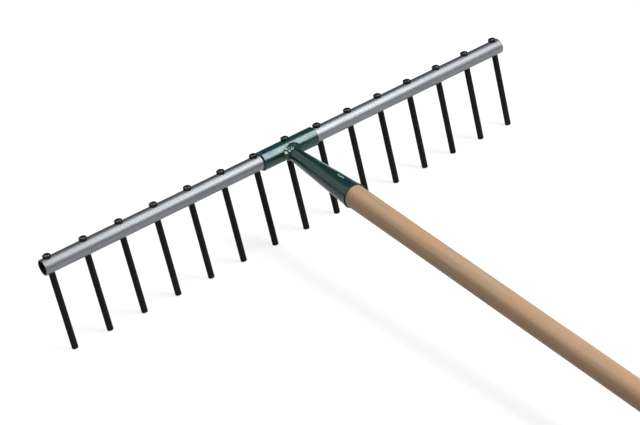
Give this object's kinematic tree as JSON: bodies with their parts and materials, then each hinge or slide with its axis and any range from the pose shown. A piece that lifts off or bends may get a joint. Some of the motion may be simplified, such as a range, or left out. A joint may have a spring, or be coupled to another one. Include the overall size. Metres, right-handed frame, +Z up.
{
  "type": "garden rake",
  "caption": "Wide straight-tined rake with a cross-drilled tube head, button-headed tines, a welded conical socket on a collar and a round wooden handle.",
  "frame": {"origin": "on the ground, under the middle of the part's box: the rake lies on its tine tips and on the butt of its handle", "axes": "+X along the head tube, +Y from the handle towards the head, +Z up"},
  "size_m": [0.704, 1.558, 0.1263],
  "materials": {
    "tube_aluminium": "satin, drawn lengthwise",
    "green_paint": "glossy dark green paint",
    "tine_plastic": "black moulded plastic",
    "handle_wood": "turned and sanded pale wood"
  },
  "bodies": {
    "root": {"head_tube": "tube_aluminium", "collar": "green_paint", "socket": "green_paint", "socket_weld": "green_paint", "seam_tack": "green_paint", "handle": "handle_wood", "tine_01": "tine_plastic", "tine_02": "tine_plastic", "tine_03": "tine_plastic", "tine_04": "tine_plastic", "tine_05": "tine_plastic", "tine_06": "tine_plastic", "tine_07": "tine_plastic", "tine_08": "tine_plastic", "tine_09": "tine_plastic", "tine_10": "tine_plastic", "tine_11": "tine_plastic", "tine_12": "tine_plastic", "tine_13": "tine_plastic", "tine_14": "tine_plastic", "tine_15": "tine_plastic"}
  },
  "joints": []
}
